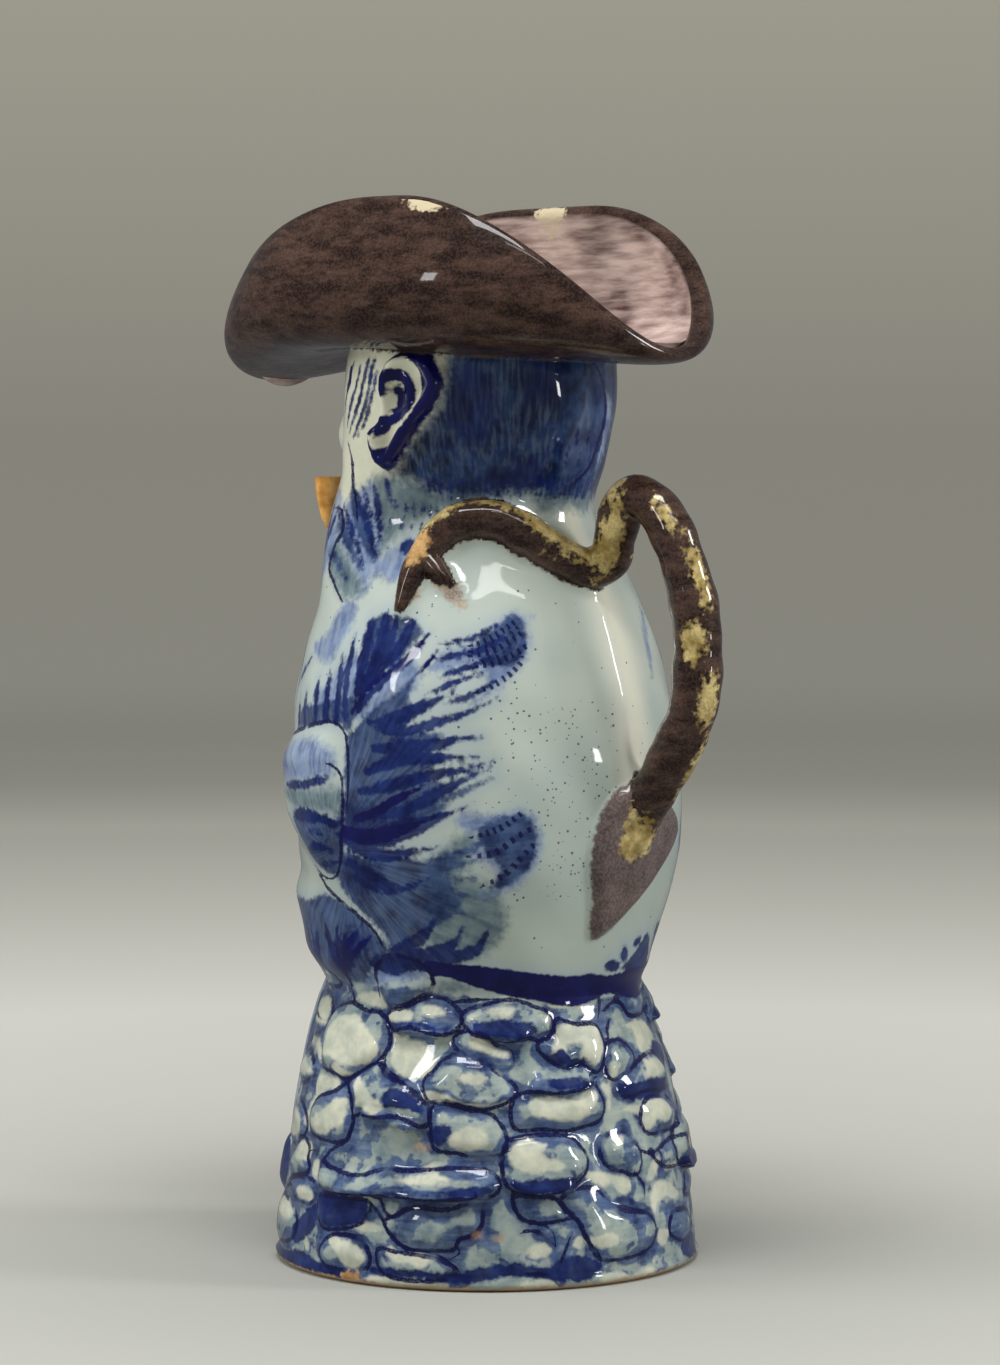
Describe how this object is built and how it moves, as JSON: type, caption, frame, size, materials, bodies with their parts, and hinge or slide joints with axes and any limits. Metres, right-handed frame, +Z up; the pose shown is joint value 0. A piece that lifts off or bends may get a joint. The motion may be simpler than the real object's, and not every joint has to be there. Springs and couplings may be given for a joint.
{
  "type": "figural tin-glazed earthenware jug",
  "caption": "Hollow pottery jug shaped as a bearded figure seated on rocks, with a cocked hat for its mouth and a serpent for its handle.",
  "frame": {"origin": "centre of the flat underside of the rock base", "axes": "+Z up the figure, -Y the way the figure faces, +X its left side, +Y the serpent handle behind"},
  "size_m": [0.1011, 0.1375, 0.2485],
  "materials": {
    "tin_glaze": "glossy tin glaze over buff earthenware, painted in blue, manganese purple and ochre"
  },
  "bodies": {
    "root": {"figural_jug": "tin_glaze"}
  },
  "joints": []
}
